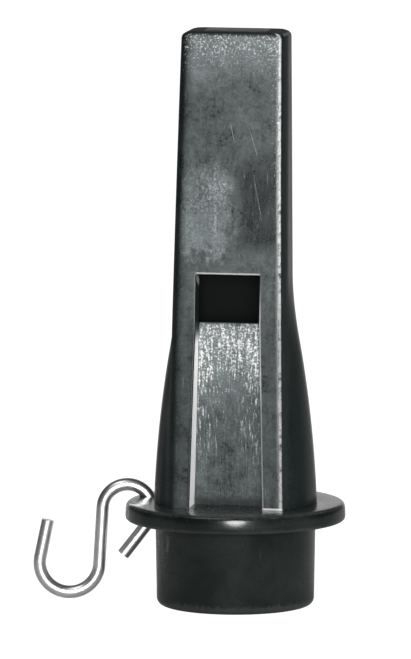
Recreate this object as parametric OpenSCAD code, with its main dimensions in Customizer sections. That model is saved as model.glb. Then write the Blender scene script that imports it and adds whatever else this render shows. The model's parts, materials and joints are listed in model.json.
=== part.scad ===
// A whistle-type bird call: a moulded body, a windway plug, a flanged end cap, a loose ball and a wire hook.
// Millimetres. The origin is the centre of the cap's foot, +Z runs up to the mouth end, and -Y is the front.

/* [Barrel] */
// Height from the foot of the cap to the mouth end
call_h = 89.5; // [86:0.5:94]
// Largest radius of the barrel's long curve
barrel_r = 12.77; // [12.6:0.05:13]
// Radius of the long curve along the barrel's side
barrel_arc_r = 182; // [175:1:195]
// Height at which that curve is widest
barrel_arc_z = 9.5; // [8.5:0.5:10.5]
// Thickness of the barrel's wall
wall = 1.8; // [1.5:0.1:2]

/* [Mouthpiece slab] */
// Width at the mouth end
slab_top_w = 16.2; // [15:0.2:17]
// Width where the slab stands on the cap
slab_foot_w = 18.6; // [18:0.1:19]
// Distance from the axis to the front face at the mouth end
front_top = 3; // [2.8:0.1:3.4]
// Distance from the axis to the front face where it stands on the cap
front_foot = 8.6; // [8.2:0.1:9]
// Radius of the front face's gentle curve
front_arc_r = 833; // [700:10:1100]
// Distance from the axis to the rear face at the mouth end
rear_top = 5; // [4.6:0.1:5.6]
// Distance from the axis to the line of the rear face at the cap
rear_foot = 0.7; // [0.4:0.1:1.6]
// Rounding of the two corners at the mouth end
corner_r = 1.1; // [0.6:0.1:1.6]

/* [Window and windway] */
// Width of the window and of the windway
window_w = 10; // [9:0.2:10.4]
// Height of the lip above the foot
lip_z = 44.6; // [43:0.2:46]
// Height of the window, from the lip to the edge of the roof
window_h = 7.7; // [6.6:0.1:7.8]
// Distance from the axis to the lip
lip_reach = 4.5; // [4.3:0.1:4.8]
// Distance from the axis to the lip face at its foot
ramp_foot = 4.2; // [4:0.1:4.5]
// Thickness of the wall behind the lip face
ramp_wall = 1.6; // [1.4:0.1:1.8]
// Thickness of the lip's edge
lip_t = 0.25; // [0.2:0.05:0.5]
// Width of the channel at its foot
channel_foot_w = 11.5; // [11:0.1:12]
// Thickness of the roof over the windway
roof_t = 1.4; // [1.2:0.1:1.5]
// Height of the windway
windway_h = 1.35; // [1.1:0.05:1.5]
// Thickness of the mouthpiece's rear wall
rear_wall = 1.5; // [1.2:0.1:1.8]

/* [End cap] */
// Radius at the foot
cap_foot_r = 12.2; // [12:0.1:12.4]
// Radius just below the flange
cap_neck_r = 12.45; // [12.4:0.05:12.6]
// Height from the foot to the underside of the flange
cap_h = 13.3; // [12.8:0.1:13.6]
// Rounding of the foot's edge
foot_round = 1.1; // [0.8:0.05:1.6]
// Width of the flange beyond the foot of the barrel
flange_land = 4.45; // [4.2:0.05:4.8]
// Thickness of the flange
flange_t = 2.8; // [2.6:0.1:2.9]
// Rounding of the flange's lower edge
flange_round = 0.5; // [0.4:0.1:1.2]
// Rounding of the flange's upper edge
flange_top_round = 0.3; // [0.2:0.05:0.5]
// Thickness of the cap's floor
cap_floor = 2; // [1.6:0.1:2.4]
// Radius of the body's spigot and of the bore that takes it
spigot_r = 10.8; // [10.6:0.1:11]
// Length of the spigot below the top of the flange
spigot_len = 9; // [8:0.5:10]
// Thickness of the spigot's wall
spigot_wall = 1.3; // [1.1:0.1:1.5]
// Thickness of the floor between the channel and the spigot
web_t = 1.5; // [1.2:0.1:1.8]

/* [Trill ball] */
// Diameter of the ball
ball_d = 8; // [7.9:0.1:8.4]
// Distance of its path behind the axis
ball_back = 3.2; // [3:0.1:3.4]
// Gap between the ball at rest and the cap's floor
ball_gap = 0.1; // [0.05:0.05:0.3]

/* [S-hook] */
// Diameter of the wire
wire_d = 2; // [1.8:0.05:2.1]
// Diameter of the hole that the hook hangs in
hole_d = 3.2; // [3.15:0.05:3.3]
// Play between the hole's far side and the widest reach of the loop
hook_play = 0.175; // [0.16:0.005:0.19]
// Gap between the hole and the foot of the barrel
hole_gap = 0.11; // [0.06:0.01:0.3]
// Angle of the hole behind the left side
hole_angle = 11; // [8:1:14]
// Angle of the hook's plane to the front
hook_yaw = 10.6; // [6:0.2:14]
// Radius of the upper loop, to the wire's centre
loop_r = 3.875; // [3.8:0.025:3.95]
// Radius of the lower bend, to the wire's centre
bend_r = 4.65; // [4.4:0.05:4.9]
// Lean of the leg between loop and bend from the vertical
leg_lean = 3.4; // [2:0.2:5]
// Lean of the free leg from the vertical
free_lean = 11.8; // [8:0.2:16]
// Length of the free leg
free_leg = 6; // [4:0.5:8]
// Angle below the horizontal where the loop ends in the short leg
short_angle = 38; // [34:1:42]
// Length of the short leg
short_leg = 6.2; // [5:0.2:7]
// Gap between the lower bend and the surface that the call stands on
hook_gap = 0.02; // [0.01:0.01:0.1]

/* [Hidden] */

// Fineness of round faces, and of the two very long curves
$fn = 96;
long_fn = 1440;

flange_z = cap_h + flange_t;
barrel_foot_r = barrel_r - barrel_arc_r + sqrt(pow(barrel_arc_r, 2) - pow(flange_z - barrel_arc_z, 2));
flange_r = barrel_foot_r + flange_land;
// A reach past a face that is cut, and a reach past the whole body
past = 1;
far = 2 * flange_r;

slab_h = call_h - flange_z;
roof_z = lip_z + window_h;

function mid(a, b) = (a + b) / 2;
// Value at height z of a line that is foot at the flange and top at the mouth end
function along(foot, top, z) = foot + (top - foot) * (z - flange_z) / slab_h;

// Centre of the front face's circle, from its two ends and its radius
chord = norm([front_foot - front_top, slab_h]);
arc_back = sqrt(pow(front_arc_r, 2) - pow(chord / 2, 2));
front_arc_y = -mid(front_foot, front_top) + arc_back * slab_h / chord;
front_arc_z = mid(flange_z, call_h) - arc_back * (front_foot - front_top) / chord;
// Distance from the axis to the front face at height z
function front_at(z) = -front_arc_y + sqrt(pow(front_arc_r, 2) - pow(z - front_arc_z, 2));

// The windway's roof is flat, from the edge of the window to the mouth end
roof_low = front_at(roof_z) - roof_t;
roof_high = front_top - roof_t;
block_low = roof_low - windway_h;
block_high = roof_high - windway_h;
bore_rear_low = along(rear_foot, rear_top, roof_z) - rear_wall;
bore_rear_high = rear_top - rear_wall;

// The chamber's front wall, behind the lip face
chamber_front = ramp_foot - ramp_wall;
lip_inner = lip_reach - lip_t;
// Height below the lip over which the wall thins to its edge, as a share of what it loses
lip_taper_share = 5;
lip_taper = (lip_inner - chamber_front) * lip_taper_share;
shoulder_z = flange_z + web_t;
spigot_z = flange_z - spigot_len;
spigot_bore_r = spigot_r - spigot_wall;

ball_r = ball_d / 2;
ball_z = cap_floor + ball_gap + ball_r;

wire_r = wire_d / 2;
bend_z = hook_gap + wire_r + bend_r;
// Height of the loop's centre in the flange, as a share of its thickness
loop_share = 0.285;
loop_z = cap_h + loop_share * flange_t;
// The leg is as long as sets the lower bend just above the surface that the call stands on
leg_len = (loop_z - bend_z + (loop_r + bend_r) * sin(leg_lean)) / cos(leg_lean);

// Sides of the wire, and steps round each of its bends
wire_sides = 16;
bend_steps = 20;

// Where the hole is, and how far from it the loop's centre lies
hole_reach = barrel_foot_r + hole_gap + hole_d / 2;
hole_shift = loop_r + wire_r + hook_play - hole_d / 2;

// Places a shape drawn in Y and Z, and gives it a thickness of w across X
module across(w) {
    translate([-w / 2, 0, 0])
        rotate([90, 0, 90])
            linear_extrude(w) children();
}

// Places a shape drawn in X and Z, and extends it from y0 back by d
module backwards(y0, d) {
    translate([0, y0 + d, 0])
        rotate([90, 0, 0])
            linear_extrude(d) children();
}

// The barrel's long curve, moved inwards, between two heights
module barrel_round(inwards, low, high) {
    rotate_extrude()
        intersection() {
            translate([barrel_r - barrel_arc_r, barrel_arc_z])
                circle(r = barrel_arc_r - inwards, $fn = long_fn);
            translate([0, low]) square([far, high - low]);
        }
}

module slab_side_outline() {
    polygon([
        [-far, flange_z],
        [rear_foot, flange_z],
        [rear_top, call_h],
        [-far, call_h]
    ]);
}

module slab_front_outline() {
    top = slab_top_w / 2;
    foot = slab_foot_w / 2;
    difference() {
        polygon([[-foot, flange_z], [foot, flange_z], [top, call_h], [-top, call_h]]);
        for (side = [-1, 1])
            translate([side * top, call_h])
                difference() {
                    square(2 * corner_r, center = true);
                    translate([-side * corner_r, -corner_r]) circle(r = corner_r);
                }
    }
}

module slab() {
    intersection() {
        across(far) slab_side_outline();
        backwards(-far / 2, far) slab_front_outline();
    }
}

// What lies behind the front face, which cuts the slab and the barrel alike
module behind_front() {
    across(far)
        translate([front_arc_y, front_arc_z]) circle(r = front_arc_r, $fn = long_fn * 2);
}

// The open channel in front of the lip face, and the window above it
module channel() {
    intersection() {
        backwards(-far / 2, far / 2)
            polygon([
                [-channel_foot_w / 2, flange_z],
                [channel_foot_w / 2, flange_z],
                [window_w / 2, lip_z],
                [window_w / 2, roof_z],
                [-window_w / 2, roof_z],
                [-window_w / 2, lip_z]
            ]);
        across(far)
            polygon([
                [-far, flange_z],
                [-ramp_foot, flange_z],
                [-lip_reach, lip_z],
                [-chamber_front, lip_z],
                [-chamber_front, roof_z],
                [-far, roof_z]
            ]);
    }
}

module chamber() {
    intersection() {
        barrel_round(wall, shoulder_z, roof_z);
        across(far)
            polygon([
                [-chamber_front, flange_z],
                [far, flange_z],
                [far, roof_z],
                [-lip_inner, roof_z],
                [-lip_inner, lip_z],
                [-chamber_front, lip_z - lip_taper]
            ]);
    }
}

// The way down through the spigot: its front part ends below the web under the channel
module spigot_bore() {
    translate([0, 0, spigot_z - past]) cylinder(r = spigot_bore_r, h = spigot_len - web_t + past);
    intersection() {
        translate([0, 0, spigot_z]) cylinder(r = spigot_bore_r, h = shoulder_z - spigot_z + past);
        translate([-far / 2, -chamber_front, spigot_z]) cube([far, far, far]);
    }
}

// The space in the mouthpiece that holds the block and leaves the windway
module mouth_bore(front_low, front_high) {
    across(window_w)
        polygon([
            [-front_low, roof_z],
            [bore_rear_low, roof_z],
            [bore_rear_high, call_h],
            [-front_high, call_h]
        ]);
}

module whistle_body() {
    color("#23282a")
        difference() {
            union() {
                intersection() {
                    union() {
                        barrel_round(0, flange_z, call_h);
                        slab();
                    }
                    behind_front();
                }
                translate([0, 0, spigot_z]) cylinder(r = spigot_r, h = spigot_len);
            }
            chamber();
            channel();
            spigot_bore();
            mouth_bore(roof_low, roof_high);
        }
}

module windway_block() {
    color("#2b3032") mouth_bore(block_low, block_high);
}

module cap_outline() {
    difference() {
        union() {
            polygon([
                [0, 0],
                [cap_foot_r - foot_round, 0],
                [cap_foot_r, foot_round],
                [cap_neck_r, cap_h],
                [cap_neck_r, flange_z],
                [0, flange_z]
            ]);
            translate([cap_foot_r - foot_round, foot_round]) circle(r = foot_round);
            translate([0, cap_h]) square([flange_r - flange_round, flange_t - flange_top_round]);
            translate([0, cap_h + flange_round])
                square([flange_r, flange_t - flange_round - flange_top_round]);
            translate([0, cap_h + flange_round])
                square([flange_r - flange_top_round, flange_t - flange_round]);
            translate([flange_r - flange_round, cap_h + flange_round]) circle(r = flange_round);
            translate([flange_r - flange_top_round, flange_z - flange_top_round])
                circle(r = flange_top_round);
        }
        translate([0, cap_floor]) square([spigot_r, flange_z]);
    }
}

module end_cap() {
    color("#1d2122")
        difference() {
            rotate_extrude() cap_outline();
            rotate([0, 0, -hole_angle])
                translate([-hole_reach, 0, cap_h - past])
                    cylinder(d = hole_d, h = flange_t + 2 * past);
        }
}

module trill_ball() {
    color("#b98d5b") translate([0, ball_back, ball_z]) sphere(r = ball_r);
}

// The wire's centre line in X and Z about the loop's centre. Each entry is a point and the way to its side.
function round_line(centre, r, from, to, side) = [
    for (i = [0:bend_steps])
        let (a = from + (to - from) * i / bend_steps, out = [cos(a), sin(a)])
        [centre + r * out, side * out]
];
// The entry a distance on from another one, to the left of its side
function run_on(entry, len) = [entry[0] + len * [-entry[1].y, entry[1].x], entry[1]];

loop_line = round_line([0, 0], loop_r, -short_angle, 180 - leg_lean, 1);
leg_end = run_on(loop_line[bend_steps], leg_len);
bend_centre = leg_end[0] + bend_r * leg_end[1];
bend_line = round_line(bend_centre, bend_r, -leg_lean, -180 - free_lean, -1);
hook_line = concat(
    [run_on(loop_line[0], -short_leg)],
    loop_line,
    bend_line,
    [run_on(bend_line[bend_steps], free_leg)]
);

// A tube of the wire's thickness along a line of such entries
module wire(line) {
    last = len(line) - 1;
    points = [
        for (entry = line)
            for (k = [0:wire_sides - 1])
                let (a = 360 * k / wire_sides, reach = entry[0] + wire_r * cos(a) * entry[1])
                [reach.x, wire_r * sin(a), reach.y]
    ];
    start_face = [for (k = [0:wire_sides - 1]) k];
    end_face = [for (k = [wire_sides - 1:-1:0]) last * wire_sides + k];
    sides = [
        for (i = [0:last - 1])
            for (k = [0:wire_sides - 1])
                let (next = (k + 1) % wire_sides, here = i * wire_sides, on = here + wire_sides)
                [here + k, on + k, on + next, here + next]
    ];
    polyhedron(points, concat([start_face, end_face], sides));
}

module s_hook() {
    color("#b9bec2")
        translate([-hole_reach * cos(hole_angle), hole_reach * sin(hole_angle), loop_z])
            rotate([0, 0, hook_yaw])
                translate([-hole_shift, 0, 0])
                    wire(hook_line);
}

whistle_body();
windway_block();
end_cap();
trill_ball();
s_hook();
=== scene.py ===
"""The looks of a moulded bird call: a slab-fronted whistle, its windway plug, its flanged end cap, its cork
ball and its bright wire hook. Lengths are in millimetres and turn into metres as a mesh is made. The origin
is the centre of the foot, +Z runs up to the mouth end and -Y is the front."""

import json
import math

import bpy
import numpy as np
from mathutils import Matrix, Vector

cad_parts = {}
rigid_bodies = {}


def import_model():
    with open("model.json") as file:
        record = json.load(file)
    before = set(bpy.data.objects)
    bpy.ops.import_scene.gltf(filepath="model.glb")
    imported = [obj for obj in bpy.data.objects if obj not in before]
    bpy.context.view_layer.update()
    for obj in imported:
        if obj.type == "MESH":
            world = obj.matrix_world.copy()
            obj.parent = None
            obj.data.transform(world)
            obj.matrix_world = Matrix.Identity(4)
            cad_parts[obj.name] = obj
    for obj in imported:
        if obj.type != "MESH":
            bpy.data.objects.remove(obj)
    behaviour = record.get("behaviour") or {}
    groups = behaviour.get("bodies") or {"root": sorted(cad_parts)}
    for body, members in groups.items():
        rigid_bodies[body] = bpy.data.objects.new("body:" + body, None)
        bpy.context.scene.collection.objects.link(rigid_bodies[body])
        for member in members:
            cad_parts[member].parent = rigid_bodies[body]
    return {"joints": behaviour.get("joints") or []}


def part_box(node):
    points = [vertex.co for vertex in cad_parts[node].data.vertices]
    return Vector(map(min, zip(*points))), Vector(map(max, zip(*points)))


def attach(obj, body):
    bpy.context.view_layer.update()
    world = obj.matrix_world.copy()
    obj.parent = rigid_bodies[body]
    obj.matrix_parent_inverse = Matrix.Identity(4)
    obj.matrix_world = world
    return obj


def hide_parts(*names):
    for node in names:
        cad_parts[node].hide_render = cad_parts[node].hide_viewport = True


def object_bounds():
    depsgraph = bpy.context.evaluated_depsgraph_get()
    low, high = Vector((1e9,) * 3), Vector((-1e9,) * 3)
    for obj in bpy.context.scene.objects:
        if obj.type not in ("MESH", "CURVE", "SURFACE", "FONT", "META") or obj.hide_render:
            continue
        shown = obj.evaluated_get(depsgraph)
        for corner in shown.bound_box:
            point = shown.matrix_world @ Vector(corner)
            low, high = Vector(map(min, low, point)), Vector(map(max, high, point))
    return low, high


for leftover in list(bpy.data.objects):
    bpy.data.objects.remove(leftover)
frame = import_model()
cad_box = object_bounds()
MM = 0.001

# Heights, in millimetres
CALL_TOP = cad_box[1][2] / MM
FLANGE_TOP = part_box("end_cap")[1][2] / MM
SPIGOT_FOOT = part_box("whistle_body")[0][2] / MM
LIP, ROOF = 44.6, 52.3
CAP_FLOOR, FLANGE_FOOT = 2.0, 13.3
# The three long curves of the body
BARREL_R, BARREL_ARC, BARREL_WIDE = 12.77, 182.0, 9.5
FRONT_FOOT, FRONT_TOP, FRONT_ARC = 8.6, 3.0, 833.0
SLAB_FOOT, SLAB_TOP = 9.3, 8.1
REAR_FOOT, REAR_TOP = 0.7, 5.0
WINDOW, CHANNEL_FOOT = 5.0, 5.75
RAMP_FOOT, RAMP_LIP, CHAMBER_FRONT = 4.2, 4.5, 2.6
WALL, ROOF_WALL, REAR_WALL, LIP_EDGE, WINDWAY = 1.8, 1.4, 1.5, 0.25, 1.35
SPIGOT_R, SPIGOT_BORE = 10.8, 9.5
CAP_FOOT_R, CAP_NECK_R = 12.2, 12.45
# The roundings: the slab's front and rear edges and its corners at the mouth end, the rails' edges and the
# lip face's root. FLAT_GUARD keeps the front face's last point off the rounding that follows it.
EDGE_OUT, EDGE_REAR, CORNER, EDGE_IN, EDGE_ROOT, FLAT_GUARD = 1.15, 1.3, 1.1, 0.16, 0.3, 0.25
# How far behind the slab's front the barrel is cut off
SHOULDER_BACK = 1.15
CAMERA_TURN, CAMERA_RISE = math.radians(10.6), math.radians(7.4)


# ---- Hand tools


def put_down():
    """Leaves nothing selected, so that the next tool acts on its own piece alone."""
    if bpy.context.object and bpy.context.object.mode != "OBJECT":
        bpy.ops.object.mode_set(mode="OBJECT")
    bpy.ops.object.select_all(action="DESELECT")


def pick_up(piece):
    put_down()
    piece.select_set(True)
    bpy.context.view_layer.objects.active = piece


def name_it(name):
    piece = bpy.context.object
    piece.name = piece.data.name = name
    return piece


def settle(piece):
    """Puts the piece's place into its mesh."""
    pick_up(piece)
    bpy.ops.object.transform_apply(location=True, rotation=True, scale=True)


def modify(piece, kind, **settings):
    pick_up(piece)
    modifier = piece.modifiers.new(kind, kind)
    for setting, value in settings.items():
        setattr(modifier, setting, value)
    bpy.ops.object.modifier_apply(modifier=modifier.name)


def take(piece, what, chosen):
    """Goes into edit mode with the edges or faces selected for which chosen is true. An edge is tested by its
    two ends, and a face by its middle and its normal, in millimetres."""
    pick_up(piece)
    mesh = piece.data
    at = [v.co / MM for v in mesh.vertices]
    for group in (mesh.vertices, mesh.edges, mesh.polygons):
        group.foreach_set("select", [False] * len(group))
    if what == "EDGE":
        for e in mesh.edges:
            a, b = (at[i] for i in e.vertices)
            e.select = bool(chosen(a, b))
    else:
        for f in mesh.polygons:
            f.select = bool(chosen(f.center / MM, f.normal))
    bpy.ops.object.mode_set(mode="EDIT")
    bpy.ops.mesh.select_mode(type=what)


def ease(piece, chosen, offset, segments):
    """Bevels the edges for which chosen is true."""
    take(piece, "EDGE", chosen)
    bpy.ops.mesh.bevel(offset=offset * MM, segments=segments)
    bpy.ops.object.mode_set(mode="OBJECT")


def rod(name, r, low, high, at=(0, 0), sides=128):
    """An upright cylinder between two heights."""
    put_down()
    bpy.ops.mesh.primitive_cylinder_add(
        vertices=sides,
        radius=r * MM,
        depth=(high - low) * MM,
        location=(at[0] * MM, at[1] * MM, (low + high) / 2 * MM),
    )
    piece = name_it(name)
    settle(piece)
    return piece


def skin(name, rings):
    """A closed skin: a grid is laid with a row for each ring of points, and its seam is welded and its ends
    are filled."""
    rings = np.asarray(rings, float)
    rows, around = rings.shape[:2]
    put_down()
    bpy.ops.mesh.primitive_grid_add(x_subdivisions=around, y_subdivisions=rows - 1, size=1)
    piece = name_it(name)
    wrapped = np.concatenate([rings, rings[:, :1]], axis=1)
    piece.data.vertices.foreach_set("co", (wrapped * MM).ravel())
    piece.data.update()
    bpy.ops.object.mode_set(mode="EDIT")
    bpy.ops.mesh.select_all(action="SELECT")
    bpy.ops.mesh.remove_doubles(threshold=2e-6)
    bpy.ops.mesh.select_all(action="DESELECT")
    bpy.ops.mesh.select_mode(type="EDGE")
    bpy.ops.mesh.select_non_manifold(extend=False)
    bpy.ops.mesh.edge_face_add()
    bpy.ops.mesh.select_all(action="SELECT")
    bpy.ops.mesh.normals_make_consistent(inside=False)
    bpy.ops.object.mode_set(mode="OBJECT")
    return piece


def cut_with(piece, tool, operation="DIFFERENCE"):
    modify(piece, "BOOLEAN", operation=operation, object=tool, solver="MANIFOLD")
    bpy.data.objects.remove(tool)


def shade(piece, angle=30):
    pick_up(piece)
    bpy.ops.object.shade_smooth_by_angle(angle=math.radians(angle))


# ---- The body's forms, in millimetres


def along(foot, top, z):
    """A length that changes evenly from the slab's foot to its top."""
    return foot + (top - foot) * (z - FLANGE_TOP) / (CALL_TOP - FLANGE_TOP)


def barrel(z):
    """The barrel's radius."""
    return BARREL_R - BARREL_ARC + math.sqrt(BARREL_ARC**2 - (z - BARREL_WIDE) ** 2)


def front(z):
    """The front face bows gently outwards between its foot and its top."""
    rise, run = CALL_TOP - FLANGE_TOP, FRONT_FOOT - FRONT_TOP
    chord = math.hypot(rise, run)
    back = math.sqrt(FRONT_ARC**2 - (chord / 2) ** 2)
    middle_z = (FLANGE_TOP + CALL_TOP) / 2 - back * run / chord
    middle_y = (FRONT_FOOT + FRONT_TOP) / 2 - back * rise / chord
    return middle_y + math.sqrt(FRONT_ARC**2 - (z - middle_z) ** 2)


def side(z):
    """Half the slab's width, which narrows over the corners at the mouth end."""
    over = max(0.0, z - (CALL_TOP - CORNER))
    return along(SLAB_FOOT, SLAB_TOP, z) - CORNER + math.sqrt(max(0.0, CORNER**2 - over**2))


def channel(z):
    """Half the width of the window, or of the channel below it."""
    if z > LIP:
        return WINDOW
    return CHANNEL_FOOT + (WINDOW - CHANNEL_FOOT) * (z - FLANGE_TOP) / (LIP - FLANGE_TOP)


def ramp(z):
    """How far the lip face lies in front of the axis."""
    return RAMP_FOOT + (RAMP_LIP - RAMP_FOOT) * (z - FLANGE_TOP) / (LIP - FLANGE_TOP)


def outside(x, y, z, inset):
    """How far a point lies outside the slab and the barrel, which run into each other over a hollow
    rounding. The barrel is cut off behind the front, over a rounded shoulder."""
    half, near, far = side(z), front(z), along(REAR_FOOT, REAR_TOP, z)
    r = np.where(y < 0, EDGE_OUT, EDGE_REAR)
    qx = np.abs(x) - half + r
    qy = np.abs(y - (far - near) / 2) - (far + near) / 2 + r
    slab = np.minimum(np.maximum(qx, qy), 0) + np.hypot(np.maximum(qx, 0), np.maximum(qy, 0)) - r
    wide, cut_off = np.hypot(x, y) - barrel(z), -(y + near - SHOULDER_BACK)
    shoulder, hollow = 1.0, 1.1
    h = np.maximum(shoulder - np.abs(wide - cut_off), 0) / shoulder
    round_part = np.maximum(wide, cut_off) + h * h * shoulder / 4
    h = np.maximum(hollow - np.abs(slab - round_part), 0) / hollow
    return np.minimum(slab, round_part) - h * h * hollow / 4 + inset


def outline(z, inset=0.0, count=74):
    """The right half of the body's outline behind the front face, with its points closer together where it
    turns. The points are found along rays from the middle of the slab's depth."""
    near, far, half = front(z), along(REAR_FOOT, REAR_TOP, z), side(z)
    start_x, start_y = half - EDGE_OUT - FLAT_GUARD, -near + inset
    middle = (far - near) / 2
    first = math.atan2(start_y - middle, start_x)
    rays, farthest, halvings, turn_weight = 900, 20.0, 40, 2.2
    turn = np.linspace(first, math.pi / 2, rays)
    low, high = np.zeros_like(turn), np.full_like(turn, farthest)
    for _ in range(halvings):
        mid = (low + high) / 2
        out = outside(mid * np.cos(turn), middle + mid * np.sin(turn), z, inset) > 0
        high, low = np.where(out, mid, high), np.where(out, low, mid)
    x, y = low * np.cos(turn), middle + low * np.sin(turn)
    x[0], y[0], x[-1] = start_x, start_y, 0.0
    step = np.hypot(np.diff(x), np.diff(y))
    heading = np.unwrap(np.arctan2(np.diff(y), np.diff(x)))
    bend = np.abs(np.gradient(heading))
    run = np.concatenate([[0], np.cumsum(step + turn_weight * bend)])
    at = np.linspace(0, run[-1], count)
    return np.stack([np.interp(at, run, x), np.interp(at, run, y)], axis=1)


def body_ring(z, sunk, open_channel, inset=0.0, roof_round=0.0):
    """One level of the body's skin: the sunk lip face, its root, the channel's wall, the rail and the
    outline. Above the window the channel is closed, and every level keeps the same count of points."""
    near, cut, half = front(z) - inset, channel(z), side(z)
    rail_end = half - EDGE_OUT - FLAT_GUARD
    xs = list(np.linspace(0, cut - EDGE_ROOT - 0.15, 5))
    if open_channel:
        ws = [sunk] * 5
        for a in np.linspace(0, math.pi / 2, 5):
            xs.append(cut - EDGE_ROOT + EDGE_ROOT * math.sin(a))
            ws.append(sunk + EDGE_ROOT - EDGE_ROOT * math.cos(a))
        for share in (0.5, 0.92):
            xs.append(cut)
            ws.append(sunk + EDGE_ROOT + (near - EDGE_IN - sunk - EDGE_ROOT) * share)
        for a in np.linspace(0, math.pi / 2, 5):
            xs.append(cut + EDGE_IN - EDGE_IN * math.cos(a))
            ws.append(near - EDGE_IN + EDGE_IN * math.sin(a))
    else:
        xs += list(np.linspace(cut - EDGE_ROOT, cut + EDGE_IN, 12))
        ws = [near - (roof_round if x < cut - 0.001 else 0.0) for x in xs]
    for share in (0.06, 0.35, 0.65, 0.94):
        xs.append(cut + EDGE_IN + (rail_end - cut - EDGE_IN) * share)
        ws.append(near)
    half_ring = np.concatenate([np.stack([np.array(xs), -np.array(ws)], axis=1), outline(z, inset)])
    left = half_ring[-2:0:-1] * [-1, 1]
    flat = np.concatenate([half_ring, left])
    return np.concatenate([flat, np.full((len(flat), 1), z)], axis=1)


def make_body():
    """The slab and the barrel as one skin, with the spigot added and the air inside cut away."""
    rings = []
    foot, roof_round, end_round, spigot_round = FLANGE_TOP - 0.02, 0.2, 0.6, 0.3
    for z in (foot, FLANGE_TOP + 0.3, *np.linspace(FLANGE_TOP + 1, LIP - 0.6, 38), LIP - 0.1):
        rings.append(body_ring(z, ramp(z), True))
    rings.append(body_ring(LIP, RAMP_LIP - 0.08, True))
    for z in (LIP, *np.linspace(LIP + 0.5, ROOF - 0.4, 9), ROOF):
        rings.append(body_ring(z, CHAMBER_FRONT, True))
    for a in np.linspace(0, math.pi / 2, 5):
        z = ROOF + roof_round * (1 - math.cos(a))
        rings.append(body_ring(z, 0, False, roof_round=roof_round * (1 - math.sin(a))))
    for z in (
        *np.linspace(ROOF + 0.5, 68, 22),
        *np.linspace(69.5, CALL_TOP - 1.2, 12),
        *np.linspace(CALL_TOP - 1.05, CALL_TOP - end_round - 0.1, 3),
    ):
        rings.append(body_ring(z, 0, False))
    for a in np.linspace(0, math.pi / 2, 6):
        z = CALL_TOP - end_round + end_round * math.sin(a)
        rings.append(body_ring(z, 0, False, inset=end_round * (1 - math.cos(a))))
    body = skin("body_shell", rings)
    spigot = rod("spigot", SPIGOT_R, SPIGOT_FOOT, FLANGE_TOP)
    ease(spigot, lambda a, b: max(a.z, b.z) < SPIGOT_FOOT + 0.01, spigot_round, 3)
    cut_with(body, spigot, "UNION")
    cut_with(body, make_air())
    shade(body)
    return body


def air_ring(r, flat, z, bore=None):
    """One level of the air inside: a circle with a flat front, or a four-sided bore."""
    count = 24
    if bore:
        near, far = bore
        corners = [(-WINDOW, -near), (WINDOW, -near), (WINDOW, far), (-WINDOW, far)]
        points = []
        for k in range(4):
            a, b = np.array(corners[k]), np.array(corners[(k + 1) % 4])
            points += [a + (b - a) * i / count for i in range(count)]
    else:
        reach = math.sqrt(r * r - flat * flat)
        points = [(-reach + 2 * reach * i / count, -flat) for i in range(count)]
        start = math.atan2(-flat, reach)
        turn = np.linspace(start, math.pi - start, 3 * count + 1)[:-1]
        points += [(r * math.cos(a), r * math.sin(a)) for a in turn]
    return [(x, y, z) for x, y in points]


def make_air():
    """The way through the body: the spigot's bore, the chamber and the mouthpiece's bore."""
    ceiling, floor_t, thinning = ROOF - 0.02, 1.5, 8.25
    shoulder = FLANGE_TOP + floor_t
    inner = RAMP_LIP - LIP_EDGE
    bore_near = front(ROOF) - ROOF_WALL
    bore_far = along(REAR_FOOT, REAR_TOP, ROOF) - REAR_WALL
    slope_near = (FRONT_TOP - ROOF_WALL - bore_near) / (CALL_TOP - ROOF)
    slope_far = (REAR_TOP - REAR_WALL - bore_far) / (CALL_TOP - ROOF)
    rings = [air_ring(SPIGOT_BORE, CHAMBER_FRONT, z) for z in (SPIGOT_FOOT - 1, shoulder)]
    for z in np.linspace(shoulder, LIP - thinning, 16):
        rings.append(air_ring(barrel(z) - WALL, CHAMBER_FRONT, z))
    for z in np.linspace(LIP - 8, LIP, 7):
        thinned = (z - LIP + thinning) / thinning
        rings.append(air_ring(barrel(z) - WALL, CHAMBER_FRONT + (inner - CHAMBER_FRONT) * thinned, z))
    for z in np.linspace(LIP + 1, ceiling, 7):
        rings.append(air_ring(barrel(z) - WALL, inner, z))
    for z in (ceiling, CALL_TOP + 1):
        past = z - ROOF
        rings.append(air_ring(0, 0, z, bore=(bore_near + slope_near * past, bore_far + slope_far * past)))
    air = skin("air", rings)
    way = rod("way", SPIGOT_BORE, SPIGOT_FOOT - 1.5, FLANGE_TOP - floor_t)
    cut_with(air, way, "UNION")
    return air


def make_plug():
    """The windway's plug fills the rear of the mouthpiece's bore."""
    low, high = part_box("windway_block")
    put_down()
    bpy.ops.mesh.primitive_cube_add(size=1)
    plug = name_it("windway_plug")
    near_low = front(ROOF) - ROOF_WALL - WINDWAY
    near_high = FRONT_TOP - ROOF_WALL - WINDWAY
    far_low = along(REAR_FOOT, REAR_TOP, ROOF) - REAR_WALL
    far_high = REAR_TOP - REAR_WALL
    for v in plug.data.vertices:
        up = v.co.z > 0
        x = (high[0] if v.co.x > 0 else low[0]) / MM
        y = (far_high if up else far_low) if v.co.y > 0 else -(near_high if up else near_low)
        v.co = Vector((x, y, CALL_TOP if up else ROOF)) * MM
    ease(plug, lambda a, b: True, 0.14, 3)
    shade(plug)
    return plug


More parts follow.
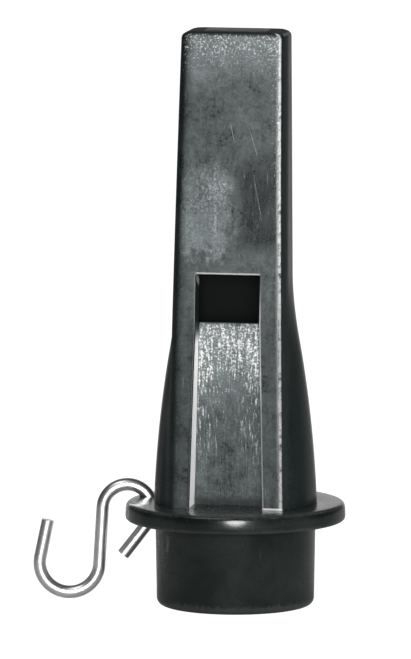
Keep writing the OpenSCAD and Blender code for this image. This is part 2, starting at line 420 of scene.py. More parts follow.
def make_cap():
    """A turned cup with a flange round its mouth, whose wall is slightly crowned, and a hole through the
    flange for the hook."""
    flange_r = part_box("end_cap")[1][0] / MM
    cap = rod("cap_shell", CAP_FOOT_R, 0, FLANGE_FOOT, sides=192)
    take(cap, "FACE", lambda c, n: n.z > 0.9)
    bpy.ops.transform.resize(value=(CAP_NECK_R / CAP_FOOT_R, CAP_NECK_R / CAP_FOOT_R, 1))
    low_r, high_r = flange_r - 0.06, flange_r - 0.2
    profile = (
        (low_r, FLANGE_FOOT),
        (flange_r, FLANGE_FOOT + 0.9),
        (flange_r - 0.05, FLANGE_FOOT + 1.8),
        (high_r, FLANGE_TOP),
        (SPIGOT_R, FLANGE_TOP),
        (SPIGOT_R, CAP_FLOOR),
    )
    last, height = CAP_NECK_R, FLANGE_FOOT
    for r, z in profile:
        bpy.ops.mesh.extrude_region_move(TRANSFORM_OT_translate={"value": (0, 0, (z - height) * MM)})
        bpy.ops.transform.resize(value=(r / last, r / last, 1))
        last, height = r, z
    bpy.ops.object.mode_set(mode="OBJECT")

    def ring(r, z):
        def on(a, b):
            return all(abs(math.hypot(p.x, p.y) - r) < 0.02 and abs(p.z - z) < 0.01 for p in (a, b))

        return on

    for r, z, offset, segments in (
        (CAP_FOOT_R, 0, 1.1, 8),
        (low_r, FLANGE_FOOT, 0.5, 5),
        (high_r, FLANGE_TOP, 0.6, 6),
        (CAP_NECK_R, FLANGE_FOOT, 0.2, 3),
        (SPIGOT_R, FLANGE_TOP, 0.06, 2),
    ):
        ease(cap, ring(r, z), offset, segments)
    hole_r, hole_gap, hole_turn = 1.6, 0.11, math.radians(11)
    reach = barrel(FLANGE_TOP) + hole_gap + hole_r
    at = (-reach * math.cos(hole_turn), reach * math.sin(hole_turn))
    middle = (FLANGE_FOOT + FLANGE_TOP) / 2
    cut_with(cap, rod("drill", hole_r, middle - 3, middle + 3, at, sides=64))
    shade(cap)
    return cap


def make_ball():
    """A cork ball, its skin pitted inwards."""
    low, high = (Vector(corner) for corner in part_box("trill_ball"))
    put_down()
    r = (high.x - low.x) / 2
    bpy.ops.mesh.primitive_ico_sphere_add(subdivisions=6, radius=r, location=(low + high) / 2)
    ball = name_it("cork_ball")
    settle(ball)
    for kind, size, depth in (("CLOUDS", 1.1, 0.16), ("VORONOI", 0.5, 0.12)):
        grain = bpy.data.textures.new("cork_" + kind.lower(), kind)
        grain.noise_scale = size * MM
        modify(ball, "DISPLACE", texture=grain, texture_coords="LOCAL", strength=depth * MM, mid_level=1.0)
    shade(ball, 60)
    return ball


def make_hook():
    """The wire is drawn as one line in the hook's plane and given its thickness, and its ends are eased."""
    joint = next(j for j in frame["joints"] if j["name"] == "hook_swing")
    eye = Vector(joint["pos_m"]) / MM
    loop_r, bend_r, wire_r, table_gap = 3.875, 4.65, 1.0, 0.02
    leg_lean, free_lean, short_turn, yaw = (math.radians(a) for a in (3.4, 11.8, 38, 10.6))
    short_leg, free_leg, end_ease, end_room = 6.2, 6.0, 0.14, 0.25
    # Slightly slimmer than the solid, which it stays inside
    slimming = 0.985
    bend_z = table_gap + wire_r + bend_r
    leg = (eye.z - bend_z + (loop_r + bend_r) * math.sin(leg_lean)) / math.cos(leg_lean)

    def arc(middle, r, start, end):
        turn = np.linspace(start, end, 40)
        return [(middle[0] + r * math.cos(a), middle[1] + r * math.sin(a)) for a in turn]

    loop = arc((0, 0), loop_r, -short_turn, math.pi - leg_lean)
    out = (math.cos(math.pi - leg_lean), math.sin(math.pi - leg_lean))
    on = (-out[1], out[0])
    turned = (loop[-1][0] + leg * on[0], loop[-1][1] + leg * on[1])
    middle = (turned[0] + bend_r * out[0], turned[1] + bend_r * out[1])
    bend = arc(middle, bend_r, -leg_lean, -math.pi - free_lean)
    last = -math.pi - free_lean
    tail = (bend[-1][0] + free_leg * math.sin(last), bend[-1][1] - free_leg * math.cos(last))
    first = -short_turn
    nose = (loop[0][0] + short_leg * math.sin(first), loop[0][1] - short_leg * math.cos(first))

    def towards(a, b, far):
        run = math.hypot(b[0] - a[0], b[1] - a[1])
        return a[0] + (b[0] - a[0]) * far / run, a[1] + (b[1] - a[1]) * far / run

    line = [towards(nose, loop[0], far) for far in (end_ease, end_ease + end_room)]
    line += loop + bend
    line += [towards(tail, bend[-1], far) for far in (end_ease + end_room, end_ease)]
    put_down()
    curve = bpy.data.curves.new("hook_wire", "CURVE")
    curve.dimensions = "3D"
    curve.bevel_depth = slimming * wire_r * MM
    curve.bevel_resolution = 7
    curve.use_fill_caps = True
    path = curve.splines.new("POLY")
    path.points.add(len(line) - 1)
    across = Vector((math.cos(yaw), math.sin(yaw), 0))
    for point, (u, v) in zip(path.points, line):
        place = (eye + across * u + Vector((0, 0, v))) * MM
        point.co = (*place, 1)
    hook = bpy.data.objects.new("hook_wire", curve)
    bpy.context.collection.objects.link(hook)
    pick_up(hook)
    bpy.ops.object.convert(target="MESH")
    hook = bpy.context.object
    bpy.ops.object.mode_set(mode="EDIT")
    bpy.ops.mesh.select_all(action="SELECT")
    bpy.ops.mesh.remove_doubles(threshold=1e-6)
    bpy.ops.mesh.normals_make_consistent(inside=False)
    bpy.ops.object.mode_set(mode="OBJECT")
    ends = [(f.center / MM, f.normal.copy()) for f in hook.data.polygons if len(f.vertices) > 4]
    for middle, way in ends:
        take(hook, "FACE", lambda c, n: (c - middle).length < 0.01 and n.dot(way) > 0.99)
        done = 0.0
        for far, grow in ((0.06, 0.96), (0.05, 0.93), (0.03, 0.9)):
            done += far
            bpy.ops.mesh.extrude_region_move(TRANSFORM_OT_translate={"value": way * far * MM})
            bpy.ops.transform.resize(value=(grow, grow, grow), center_override=(middle + way * done) * MM)
        bpy.ops.object.mode_set(mode="OBJECT")
    shade(hook, 35)
    return hook


# ---- Finishes


class Value:
    """A number that varies over a surface. Arithmetic on it adds the maths nodes."""

    def __init__(self, finish, socket):
        self.finish, self.socket = finish, socket

    def maths(self, operation, *others, clamp=False):
        settings = dict(operation=operation, use_clamp=clamp)
        return self.finish.add("ShaderNodeMath", settings, dict(enumerate(others)))

    def __add__(self, other):
        return self.maths("ADD", self, other)

    def __sub__(self, other):
        return self.maths("SUBTRACT", self, other)

    def __rsub__(self, other):
        return self.maths("SUBTRACT", other, self)

    def __mul__(self, other):
        return self.maths("MULTIPLY", self, other)

    def __truediv__(self, other):
        return self.maths("DIVIDE", self, other)

    def __pow__(self, other):
        return self.maths("POWER", self, other)

    def __abs__(self):
        return self.maths("ABSOLUTE", self)

    __radd__ = __add__
    __rmul__ = __mul__

    def most(self, other):
        return self.maths("MAXIMUM", self, other)

    def held(self):
        """Held between 0 and 1."""
        return self.maths("ADD", self, 0.0, clamp=True)

    def rise(self, low, high):
        """0 below low and 1 above high, smoothly between. With low above high it falls."""
        return self.finish.add(
            "ShaderNodeMapRange",
            dict(interpolation_type="SMOOTHSTEP"),
            {"Value": self, "From Min": low, "From Max": high},
        )


class Finish:
    """A procedural material, built from nodes on the piece's own coordinates, taken in millimetres."""

    def __init__(self, name):
        self.material = bpy.data.materials.new(name)
        self.material.use_nodes = True
        self.tree = self.material.node_tree
        self.tree.nodes.clear()
        place = self.add("ShaderNodeTexCoord", out="Object")
        self.place = self.add("ShaderNodeVectorMath", dict(operation="SCALE"), {0: place, "Scale": 1 / MM})
        parts = self.add("ShaderNodeSeparateXYZ", inputs={0: self.place}, out=None)
        self.x, self.y, self.z = (Value(self, s) for s in parts.outputs)

    @classmethod
    def on(cls, tree):
        """The same tools on a tree that has no surface, such as the world's."""
        finish = cls.__new__(cls)
        finish.tree = tree
        tree.nodes.clear()
        return finish

    def add(self, kind, settings=None, inputs=None, out=0):
        """Adds a node, sets it up and fills its sockets with numbers, colours or links. Gives its output
        called out, or the node itself where out is None."""
        node = self.tree.nodes.new(kind)
        for setting, value in (settings or {}).items():
            setattr(node, setting, value)
        for name, value in (inputs or {}).items():
            socket = node.inputs[name]
            if isinstance(value, Value):
                self.tree.links.new(value.socket, socket)
            elif isinstance(value, tuple) and socket.type == "RGBA":
                socket.default_value = (*value, 1)
            else:
                socket.default_value = value
        return node if out is None else Value(self, node.outputs[out])

    def stretched(self, sx, sy, sz, turn=(0, 0, 0)):
        """The piece's coordinates, turned and scaled along each axis."""
        sockets = {"Vector": self.place, "Scale": (sx, sy, sz), "Rotation": turn}
        return self.add("ShaderNodeMapping", inputs=sockets)

    def noise(self, scale, detail=3.0, rough=0.55, place=None, twist=0.0):
        sockets = {"Scale": scale, "Detail": detail, "Roughness": rough, "Distortion": twist}
        sockets["Vector"] = place or self.place
        return self.add("ShaderNodeTexNoise", dict(noise_dimensions="3D"), sockets, out="Fac")

    def cells(self, scale, place=None, feature="F1"):
        sockets = {"Vector": place or self.place, "Scale": scale}
        return self.add("ShaderNodeTexVoronoi", dict(feature=feature), sockets, out="Distance")

    def layered(self, colour, *layers):
        """A colour with others laid over it in turn, each given as its share and itself."""
        for share, over in layers:
            sockets = {"Factor": share, 6: colour, 7: over}
            colour = self.add("ShaderNodeMix", dict(data_type="RGBA"), sockets, out=2)
        return colour

    def dot(self, a, b):
        return self.add("ShaderNodeVectorMath", dict(operation="DOT_PRODUCT"), {0: a, 1: b}, out="Value")

    def facing(self, x, y, z):
        """How far the surface faces a direction, from -1 to 1."""
        return self.dot(self.add("ShaderNodeTexCoord", out="Normal"), (x, y, z))

    def span(self, a, b):
        """The length of the two sides a and b taken together."""
        return (a * a + b * b) ** 0.5

    def stroke(self, start, end, width):
        """One scratch on the front, between two places given across and up."""
        run = math.hypot(end[0] - start[0], end[1] - start[1])
        over, up = (end[0] - start[0]) / run, (end[1] - start[1]) / run
        x, z = self.x - start[0], self.z - start[1]
        on, off = x * over + z * up, abs(x * up - z * over)
        return off.rise(width, width * 0.4) * on.rise(-0.1, run * 0.25) * on.rise(run + 0.1, run * 0.75)

    def scratches(self, lean, across, length, keep):
        """Fine lines on the front, leaning from the vertical, a few of them kept."""
        place = self.stretched(across, across, length, (0, math.radians(lean), 0))
        return self.noise(1.0, 2.0, 0.5, place).rise(keep, keep + 0.06)

    def crossed(self, *sets):
        """Several sets of scratches, one across the other."""
        lines = [self.scratches(*each) for each in sets]
        return sum(lines[1:], lines[0]).held()

    def finish(self, shader_inputs, bumps):
        """Ends the tree in a shader, with its bumps given as height, distance in metres and strength."""
        shader_inputs = dict(shader_inputs)
        for height, distance, strength in bumps:
            sockets = {"Height": height, "Distance": distance, "Strength": strength}
            if "Normal" in shader_inputs:
                sockets["Normal"] = shader_inputs["Normal"]
            shader_inputs["Normal"] = self.add("ShaderNodeBump", inputs=sockets)
        shader = self.add("ShaderNodeBsdfPrincipled", inputs=shader_inputs)
        self.add("ShaderNodeOutputMaterial", inputs={"Surface": shader}, out=None)
        return self.material


def wear(piece, material):
    piece.data.materials.clear()
    piece.data.materials.append(material)


def barrel_reach(f):
    """The barrel's radius at the height of the surface."""
    over = f.z - BARREL_WIDE
    return (BARREL_ARC**2 - over * over) ** 0.5 + (BARREL_R - BARREL_ARC)


def front_reach(f):
    """How far the front face stands before the axis at the height of the surface. Its arc is flat enough to
    be taken as a parabola."""
    chord = math.hypot(CALL_TOP - FLANGE_TOP, FRONT_FOOT - FRONT_TOP)
    bow = 4 * (FRONT_ARC - math.sqrt(FRONT_ARC**2 - (chord / 2) ** 2))
    up = (f.z - FLANGE_TOP) / (CALL_TOP - FLANGE_TOP)
    return FRONT_FOOT - (FRONT_FOOT - FRONT_TOP) * up + bow * up * (1.0 - up)


def side_reach(f):
    """Half the slab's width at the height of the surface."""
    over = (f.z - (CALL_TOP - CORNER)).most(0.0)
    up = (f.z - FLANGE_TOP) / (CALL_TOP - FLANGE_TOP)
    return SLAB_FOOT - CORNER - (SLAB_FOOT - SLAB_TOP) * up + (CORNER**2 - over * over).most(0.0) ** 0.5


def channel_reach(f):
    """Half the width of the window, or of the channel below it, at the height of the surface."""
    narrowing = (CHANNEL_FOOT - WINDOW) / (LIP - FLANGE_TOP)
    return (CHANNEL_FOOT - narrowing * (f.z - FLANGE_TOP)).most(WINDOW)


def body_finish():
    """Moulded black plastic: haze, dust and scuffs on its front faces, with a painted sheen in the haze and
    painted shade along its left edges; painted highlights on its right edges, laid in as grey rubbing over
    real wear; the lip face scored from above, with painted highlight flecks, a painted shadow at its foot and
    its left wall painted white as a painted reflection; the air way inside painted darker as painted shade.
    Places on it are given in millimetres across and up."""
    f = Finish("moulded_black")
    x, y, z = f.x, f.y, f.z
    out, deep = abs(x), 0.0 - y
    half, cut = side_reach(f), channel_reach(f)
    to_face, to_side = front_reach(f) - deep, half - x
    frontal = f.facing(0, -1, 0).rise(0.75, 0.97)
    sideways = abs(f.facing(1, 0, 0))

    # The places: the slab's and the rails' front, the lip face, the channel's walls, the air inside
    on_face = to_face.rise(0.3, 0.1) * frontal
    slab_front = on_face * (half - out).rise(0.35, 1.0)
    sunk = to_face.rise(0.4, 0.8)
    in_channel = sunk * (out - cut).rise(0.1, -0.05) * z.rise(LIP + 0.2, LIP - 0.05)
    on_ramp = in_channel * frontal * deep.rise(3.6, 4.0)
    on_wall = sideways.rise(0.6, 0.9) * (out - cut).rise(0.14, 0.06) * (cut - out).rise(0.14, 0.06)
    on_wall = on_wall * to_face.rise(0.35, 0.55) * deep.rise(4.2, 4.5) * z.rise(LIP - 0.8, LIP - 4.0)
    inside = (barrel_reach(f) - WALL - f.span(x, y)).rise(-0.3, -0.1) * deep.rise(4.1, 3.9)

    # Noise at every size, for what the years have left and for the painted sheen and highlights
    clouds = f.noise(0.16, 5.0, 0.62, twist=0.6)
    patches = f.noise(0.42, 4.0, 0.6, twist=0.3)
    blots = f.noise(0.9, 3.0, 0.5, twist=1.0)
    grain = f.noise(3.2, 3.0, 0.65)
    speck = f.noise(5.0, 2.0, 0.55)
    drawn = f.noise(1.0, 3.0, 0.6, f.stretched(4.8, 4.8, 0.6))
    streak = f.noise(1.0, 3.0, 0.6, f.stretched(1.6, 1.6, 0.12))

    # Scratches
    lines = f.crossed((9, 5.5, 0.16, 0.7), (-14, 6.5, 0.2, 0.72), (52, 4.5, 0.5, 0.76))
    strokes = f.stroke((0.0, 75.7), (0.7, 72.8), 0.05) + f.stroke((3.0, 74.8), (4.5, 70.2), 0.05) * 0.8
    strokes = strokes * 0.7 + f.stroke((3.6, 68.6), (5.4, 59.8), 0.05) * 0.3
    seam = f.stroke((-2.2, 67.0), (-2.0, 56.2), 0.3) * grain.rise(0.35, 0.6)

    # Haze and dust, with a painted sheen: the haze lightens the front faces alone, much near the mouth, with
    # a flaking patch low on the left with a tail, a knot above it, and a clearer place low on the right
    near_mouth = z.rise(78.5, 87.5)
    patch = 1.12 - f.span((x + 4.9) * 0.175, (z - 61.8) * 0.15)
    tail = 1.0 - f.span((x + 1.6) * 0.6, (z - 57.0) * 0.3)
    low_left = patch.most(tail) + (patches - 0.5) * 1.1 + (blots - 0.5) * 0.8 + (streak - 0.5) * 0.25
    low_left = low_left.rise(-0.06, 0.46)
    flakes = f.cells(1.3, f.stretched(1.0, 1.0, 0.7), "DISTANCE_TO_EDGE").rise(0.0, 0.22)
    cracks = (1.0 - flakes) * low_left * blots.rise(0.42, 0.56)
    cracks = cracks * (0.3 + 0.7 * z.rise(58.0, 65.0)) * x.rise(-7.0, -4.5)
    knot = f.span(x + 1.6, (z - 66.4) * 0.6).rise(2.8, 0.8)
    low_right = x.rise(0.4, 3.0) * z.rise(54.0, 58.0) * z.rise(74.5, 66.0)
    dust = grain * 0.72 + speck * 0.28 + z.rise(83.0, 88.8) * 0.05 + knot * 0.06 + near_mouth * 0.03
    dust = dust.rise(0.58, 0.72) * (z.rise(80.0, 88.5) * 1.1 + knot * 0.4 + low_left * 0.3 + 0.05).held()
    haze_and_sheen = 0.25 + 0.43 * near_mouth + 0.45 * low_left + 0.24 * knot - 0.2 * low_right
    mottling = (blots - 0.5) * (0.6 + 0.5 * low_left) + (clouds - 0.5) * 0.7
    haze_and_sheen = haze_and_sheen + mottling * (1.0 - 0.85 * low_right) + (streak - 0.5) * 0.24
    haze_and_sheen = haze_and_sheen + (grain - 0.5) * (0.4 + 0.5 * near_mouth + 1.1 * low_left) * (1.0 - 0.8 * low_right)
    haze_and_sheen = haze_and_sheen * (1.0 - 0.7 * cracks) * (1.0 - 0.3 * z.rise(LIP + 5, LIP))
    haze_and_sheen = haze_and_sheen + 0.07 * z.rise(58.0, 54.0) * z.rise(50.0, 53.0)
    # Painted shade: the haze is taken away beside the left side of the channel, and faded over a wide band
    # along the left edge
    haze_and_sheen = haze_and_sheen * (1.0 - x.rise(-4.0, -4.6) * (out - cut).rise(0.55, 0.15) * z.rise(LIP + 1, LIP - 3))
    haze_and_sheen = haze_and_sheen * on_face * (half + x).rise(0.55, 2.6) * to_side.rise(0.35, 0.9)
    haze_and_sheen = (haze_and_sheen * (CALL_TOP - z).rise(0.3, 0.8)).held()

    # Painted highlights, laid in as edges rubbed through over real rubbing: the right front edge with stray
    # specks beside it, the roof's edge, the right wall's edge and the right rail's foot; and a painted glint
    # on the window's left wall under the roof
    ragged = (patches - 0.5) * 0.5 + (blots - 0.5) * 0.4
    beads = f.noise(1.0, 2.0, 0.5, f.stretched(0.4, 0.4, 1.0)) * 0.7 + grain * 0.3
    right_edge_highlight = (to_side + ragged * 0.6).rise(0.92, 0.7) * (to_side - ragged * 0.15).rise(0.38, 0.52)
    right_edge_highlight = right_edge_highlight * beads.rise(0.28, 0.5)
    strays = (grain * 0.5 + speck * 0.5).rise(0.56, 0.66) * to_side.rise(2.4, 0.8) * to_side.rise(0.4, 0.6)
    right_edge_highlight = (right_edge_highlight + strays * z.rise(52.0, 74.0) * 0.7) * to_face.rise(0.5, 0.3)
    roof_edge_highlight = f.span(z - ROOF - 0.05, to_face).rise(0.32, 0.12) * (cut - out).rise(-0.2, 0.2)
    inner = f.span(x - cut, to_face).rise(0.3, 0.12) * z.rise(ROOF, LIP) * (0.5 + 0.5 * z.rise(30.0, 36.0))
    foot = f.span(z - FLANGE_TOP, to_face).rise(0.34, 0.2)
    foot = foot * (x - cut).rise(-0.1, 0.3) * to_side.rise(0.1, 0.5)
    in_window = sunk * deep.rise(0.5, 1.5) * z.rise(ROOF + 0.1, ROOF - 0.1)
    painted_window_glint = f.span(x + WINDOW, (z - 51.4) * 0.4 + to_face * 0.2 - 0.3).rise(0.3, 0.12) * in_window
    # rubbed gathers the painted edge highlights and the painted glint
    rubbed = right_edge_highlight * (0.35 + grain) * (0.65 + 0.35 * z.rise(LIP, ROOF))
    rubbed = (rubbed + painted_window_glint * 0.5 + (roof_edge_highlight + inner) * (0.35 + grain * 0.8) + foot * 0.8).held()
    soft_rub = f.span(CALL_TOP - z, to_face).rise(1.0, 0.5) + abs(half - out).rise(0.7, 0.2)
    soft_rub = soft_rub * 0.05 * patches

    # The lip face: painted highlight over its real tool marks, brighter towards the lip, speckled below the
    # lip and drawn into flecks further down, mottled at its foot, with a painted shadow low down and a curved
    # painted shade along its foot
    below_lip = z.rise(28.5, 42.0)
    top_fade = z.rise(LIP - 0.05, LIP - 0.75)
    highlight_flecks = drawn * (0.8 - 0.45 * below_lip) + grain * (0.2 + 0.45 * below_lip)
    highlight_flecks = highlight_flecks + below_lip * 0.1 + (streak - 0.5) * 0.3
    highlight_flecks = highlight_flecks + (out - 2.6) * 0.02 * (1.0 - below_lip) + (blots - 0.5) * 0.12
    highlight_flecks = highlight_flecks.rise(0.56, 0.72) * (0.35 + grain) * z.rise(20.0, 36.0) * (0.35 + 0.65 * top_fade)
    mottle = patches - 0.5 + (drawn - 0.5) * 0.9 + (grain - 0.5) * 0.9 + (streak - 0.5) * 0.25
    # Painted shadow: a dark pool low on the lip face, and a curved painted shade along its foot
    painted_foot_shadow = f.span(x + 0.8, (z - 21.0) * 0.62).rise(3.6, 2.6) * 0.12
    ramp_highlight_and_haze = (0.38 + 0.62 * below_lip * top_fade + mottle - painted_foot_shadow) * (z - x * x * 0.012).rise(16.4, 17.9)

    black, off_black, inside_shade = (0.0045, 0.008, 0.0075), (0.008, 0.012, 0.0115), (0.003, 0.004, 0.004)
    haze_and_sheen_grey, scored, bared = (0.154, 0.182, 0.185), (0.42, 0.43, 0.42), (0.6, 0.6, 0.595)
    dusty, fleck_highlight_white, painted_reflection_white = (0.62, 0.63, 0.625), (0.9, 0.9, 0.89), (0.97, 0.97, 0.96)
    colour = f.layered(
        black,
        (clouds.rise(0.35, 0.7), off_black),
        ((grain.rise(0.55, 0.8) * 0.06 + soft_rub).held(), haze_and_sheen_grey),
        (haze_and_sheen, haze_and_sheen_grey),
        ((dust * slab_front * 0.8).held(), dusty),
        (((lines * 0.25 + strokes * 0.75 + seam * 0.3) * slab_front).held(), scored),
        # The lip face's haze, with painted highlight towards the lip and painted shadow at its foot
        ((on_ramp * ramp_highlight_and_haze).held(), haze_and_sheen_grey),
        # Painted highlight flecks on the lip face
        ((on_ramp * highlight_flecks).held(), fleck_highlight_white),
        # Painted highlights on the right edges, the roof's edge and the window's left wall, over real rubbing
        (rubbed, bared),
        # The channel's left wall painted near white: a painted reflection
        ((on_wall * (0.85 + drawn * 0.6) * x.rise(3.0, -3.0)).held(), painted_reflection_white),
        # Painted shade: the air way inside painted darker
        (inside, inside_shade),
    )
    rough = 0.27 + (clouds - 0.5) * 0.14 + haze_and_sheen * 0.25 - lines * 0.06 + on_ramp * 0.14 + (speck - 0.5) * 0.08
    rough = rough - 0.1 * to_side.rise(0.9, 0.4) * to_face.rise(1.2, 0.6)
    rough = rough + 0.5 * sideways.rise(0.8, 0.97) * to_face.rise(5.5, 1.5) * (1.0 - in_channel)
    rough = (rough + inside * 0.9 + (CALL_TOP - z).rise(0.5, 0.1) * 0.35).held()
    marks = lines + strokes * on_face + on_ramp * (drawn * 2.0 + highlight_flecks) + dust * slab_front
    return f.finish(
        {"Base Color": colour, "Roughness": rough, "IOR": 1.5, "Specular IOR Level": 0.36},
        [
            (clouds * 0.6 + patches * 0.4, 0.00012, 0.35),
            (grain * 0.7 + speck * 0.3, 0.00003, 0.35),
            (marks, -0.00003, 0.55),
        ],
    )


def cap_finish():
    """Glossy black plastic, with faint turned rings, a soft haze of handling and edges rubbed brighter."""
    f = Finish("cap_black")
    z, r = f.z, f.span(f.x, f.y)
    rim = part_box("end_cap")[1][0] / MM
    clouds = f.noise(0.14, 4.0, 0.6, twist=0.4)
    grain = f.noise(1.6, 3.0, 0.6)
    speck = f.noise(4.5, 2.0, 0.5).rise(0.68, 0.75)
    rings = f.noise(1.0, 2.0, 0.5, f.stretched(0.05, 0.05, 3.0))
    lines = f.crossed((64, 5.0, 0.25, 0.72), (98, 6.0, 0.2, 0.73), (20, 6.0, 0.2, 0.74))
    ragged = 0.5 + grain
    upper = f.span(rim - r, FLANGE_TOP - z) * ragged
    lower = f.span(rim - r, z - FLANGE_FOOT) * ragged
    foot = f.span(CAP_FOOT_R - r, z) * ragged
    rubbed = (upper.rise(0.5, 0.2) * 0.5 + lower.rise(0.7, 0.3) * 0.2 + foot.rise(1.6, 0.7) * 0.3).held()
    handled = (clouds - 0.35).held() * z.rise(0.0, 6.0)
    top = f.facing(0, 0, 1).rise(0.7, 0.95) * z.rise(FLANGE_TOP - 0.3, FLANGE_TOP - 0.05)
    black, off_black, film = (0.004, 0.007, 0.006), (0.008, 0.012, 0.011), (0.2, 0.215, 0.21)
    dulled, scored, bared = (0.3, 0.3, 0.295), (0.3, 0.31, 0.3), (0.16, 0.172, 0.168)
    colour = f.layered(
        black,
        (clouds.rise(0.3, 0.75), off_black),
        ((handled * 0.06 + speck * 0.1).held(), film),
        (top * (0.04 + grain * 0.1), dulled),
        (lines * 0.1, scored),
        (rubbed * 0.5, bared),
    )
    rough = (0.27 + (clouds - 0.5) * 0.14 + (rings - 0.5) * 0.08 + lines * 0.12).held()
    gloss = (0.5 + (clouds - 0.5) * 0.3 - lines * 0.3 - rubbed * 0.2).held()
    return f.finish(
        {
            "Base Color": colour,
            "Roughness": rough,
            "IOR": 1.5,
            "Specular IOR Level": 0.16,
            "Coat Weight": gloss,
            "Coat Roughness": 0.17,
        },
        [
            (clouds, 0.0001, 0.25),
            (rings * 0.5 + grain * 0.5, 0.00002, 0.3),
            (lines, -0.00002, 0.5),
        ],
    )


def plug_finish():
    """Duller black plastic, scraped along its length, with a paler rubbed mouth end."""
    f = Finish("plug_black")
    clouds = f.noise(0.3, 4.0, 0.6)
    scrape = f.noise(1.0, 3.0, 0.6, f.stretched(3.0, 3.0, 0.12))
    grain = f.noise(2.5, 3.0, 0.6)
    end = f.z.rise(CALL_TOP - 0.5, CALL_TOP - 0.05)
    marks = f.scratches(70, 5.0, 5.0, 0.7)
    black, off_black, scraped = (0.012, 0.0135, 0.0135), (0.028, 0.031, 0.031), (0.16, 0.17, 0.17)
    colour = f.layered(
        black,
        (clouds, off_black),
        ((scrape.rise(0.5, 0.75) * 0.25 + end * (0.12 + grain * 0.25)).held(), scraped),
    )
    rough = (0.46 + (clouds - 0.5) * 0.2 + (scrape - 0.5) * 0.15).held()
    return f.finish(
        {"Base Color": colour, "Roughness": rough, "IOR": 1.5},
        [(scrape, 0.00004, 0.4), (grain + marks, 0.00002, 0.4)],
    )


def cork_finish():
    """Cork: tan grain with darker lenticels and pits."""
    f = Finish("cork")
    clouds = f.noise(0.5, 5.0, 0.65, twist=0.8)
    cells = f.cells(1.7)
    small = f.cells(4.0)
    bark = f.noise(1.0, 4.0, 0.7, f.stretched(0.7, 0.7, 2.6)).rise(0.57, 0.68)
    pits = cells.rise(0.32, 0.12)
    brown, tan, light, dark = (0.3, 0.155, 0.06), (0.56, 0.34, 0.15), (0.66, 0.44, 0.22), (0.1, 0.045, 0.018)
    colour = f.layered(
        brown,
        (clouds.rise(0.25, 0.75), tan),
        (small.rise(0.1, 0.5) * 0.35, light),
        ((bark * 0.55 + pits * 0.5).held(), dark),
    )
    rough = (0.78 + (clouds - 0.5) * 0.2).held()
    return f.finish(
        {"Base Color": colour, "Roughness": rough, "IOR": 1.4},
        [(clouds, 0.0002, 0.4), (1.0 - pits - bark * 0.6, 0.00012, 0.7), (small, 0.00005, 0.5)],
    )


def wire_finish():
    """Bright plated wire, with drawn lines, a few dull spots and nicks."""
    f = Finish("bright_wire")
    clouds = f.noise(0.45, 4.0, 0.6)
    drawn = f.noise(1.0, 3.0, 0.6, f.stretched(3.2, 9.0, 3.2))
    spots = f.noise(2.2, 3.0, 0.6).rise(0.66, 0.76)
    nicks = f.scratches(30, 9.0, 1.0, 0.7)
    bright, duller, spotted = (0.97, 0.975, 0.98), (0.87, 0.88, 0.89), (0.34, 0.33, 0.3)
    colour = f.layered(bright, (clouds.rise(0.3, 0.75), duller), (spots * 0.5, spotted))
    rough = (0.3 + clouds * 0.08 + spots * 0.25 + nicks * 0.15).held()
    return f.finish(
        {"Base Color": colour, "Roughness": rough, "Metallic": 1.0},
        [(drawn, 0.00001, 0.25), (nicks + spots * 0.5, -0.00001, 0.4)],
    )


def dress(piece, body, node, material):
    wear(piece, material)
    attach(piece, body)
    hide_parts(node)


dress(make_body(), "call", "whistle_body", body_finish())
dress(make_plug(), "call", "windway_block", plug_finish())
dress(make_cap(), "call", "end_cap", cap_finish())
dress(make_ball(), "ball", "trill_ball", cork_finish())
dress(make_hook(), "hook", "s_hook", wire_finish())


# ---- The stage, in metres

WHITE = (1, 1, 1)
LAMP_REACH, LAMP_AIM = 0.9, Vector((0, 0, 0.045))


def sight_and_gloss(f):
    """Whether a ray comes from the camera, straight or through something clear, and whether it is a mirrored
    one."""
    path = f.add("ShaderNodeLightPath", out=None)
    kinds = ("Is Camera Ray", "Is Transmission Ray", "Is Glossy Ray")
    straight, through, mirrored = (Value(f, path.outputs[kind]) for kind in kinds)
    return straight.most(through), mirrored


def backdrop_seen_in_gloss(f, onward):
    """Dark in front and at the sides and light straight behind, so that gloss shows the backdrop at its
    edges."""
    around, rear, centre = 0.02, 0.07, 0.64
    away = f.dot(onward, (-math.sin(CAMERA_TURN), math.cos(CAMERA_TURN), 0))
    return around + rear * away.rise(0.3, 0.7) + centre * away.rise(0.88, 1.0)


def set_floor():
    """A table top that the camera sees as white, and gloss as a part of the backdrop."""
    cloth_grey, seen_level, glow_level = 0.42, 1.1, 0.84
    put_down()
    bpy.ops.mesh.primitive_plane_add(size=6)
    floor = name_it("floor")
    f = Finish("pale_floor")
    seen, mirrored = sight_and_gloss(f)
    spot = f.add("ShaderNodeVectorMath", dict(operation="NORMALIZE"), {0: f.place})
    level = (seen * seen_level + mirrored * backdrop_seen_in_gloss(f, spot)) * glow_level
    cloth = f.add("ShaderNodeBsdfDiffuse", inputs={"Color": (cloth_grey, cloth_grey, cloth_grey)})
    glow = f.add("ShaderNodeEmission", inputs={"Color": WHITE, "Strength": level})
    both = f.add("ShaderNodeAddShader", inputs={0: cloth, 1: glow})
    f.add("ShaderNodeOutputMaterial", inputs={"Surface": both}, out=None)
    wear(floor, f.material)


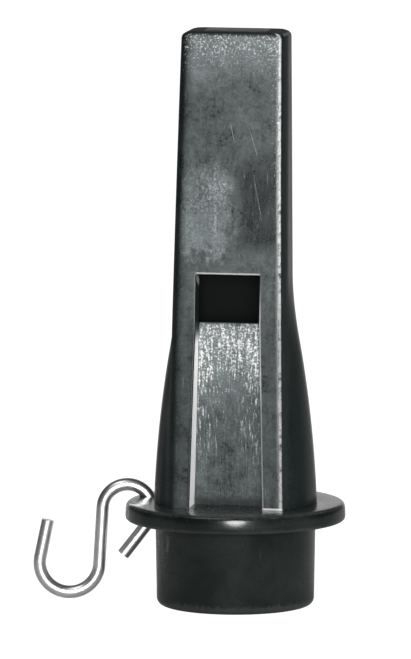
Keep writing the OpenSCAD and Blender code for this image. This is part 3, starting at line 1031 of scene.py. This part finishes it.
def set_world():
    """White to the camera, the backdrop to gloss, and a soft fill to all else."""
    fill_level = 0.26
    world = bpy.data.worlds.new("studio")
    bpy.context.scene.world = world
    world.use_nodes = True
    f = Finish.on(world.node_tree)
    seen, mirrored = sight_and_gloss(f)
    onward = f.add("ShaderNodeTexCoord", out="Generated")
    fill, mirror, white = (
        f.add("ShaderNodeBackground", inputs={"Color": WHITE, "Strength": level})
        for level in (fill_level, backdrop_seen_in_gloss(f, onward), 1.0)
    )
    unseen = f.add("ShaderNodeMixShader", inputs={0: mirrored, 1: fill, 2: mirror})
    all_round = f.add("ShaderNodeMixShader", inputs={0: seen, 1: unseen, 2: white})
    f.add("ShaderNodeOutputWorld", inputs={"Surface": all_round}, out=None)


def direction(turn, rise):
    """The way from the call to a place turned right of its front and raised above the level, in radians."""
    return Vector((math.sin(turn) * math.cos(rise), -math.cos(turn) * math.cos(rise), math.sin(rise)))


def aim(thing, at):
    thing.rotation_euler = (Vector(at) - thing.location).to_track_quat("-Z", "Y").to_euler()


def lamp(name, turn, rise, size, power, mirrored=True):
    """A round lamp, placed by its turn and rise in degrees."""
    light = bpy.data.lights.new(name, "AREA")
    light.shape = "DISK"
    light.size, light.energy = size, power
    thing = bpy.data.objects.new(name, light)
    bpy.context.collection.objects.link(thing)
    thing.location = LAMP_AIM + LAMP_REACH * direction(math.radians(turn), math.radians(rise))
    aim(thing, LAMP_AIM)
    thing.visible_glossy = mirrored


def set_camera():
    """A long lens from the photograph's side, so that the picture is as flat as the photograph is."""
    middle, shown, reach = Vector((-4.57, -0.86, 42.97)) * MM, 102.1 * MM, 1.5
    lens = bpy.data.cameras.new("camera")
    lens.sensor_fit, lens.sensor_height = "VERTICAL", 24
    lens.lens = lens.sensor_height * reach / shown
    lens.clip_start, lens.clip_end = 0.05, 20
    camera = bpy.data.objects.new("camera", lens)
    bpy.context.collection.objects.link(camera)
    camera.location = middle + reach * direction(CAMERA_TURN, CAMERA_RISE)
    aim(camera, middle)
    bpy.context.scene.camera = camera


set_floor()
set_world()
lamp("flash", turn=10.6, rise=7, size=0.32, power=6.8)
lamp("soft_top", turn=-30, rise=60, size=0.5, power=1.3)
lamp("side_fill", turn=70, rise=12, size=0.4, power=4.0, mirrored=False)
set_camera()
bpy.context.scene.view_settings.view_transform = "Standard"
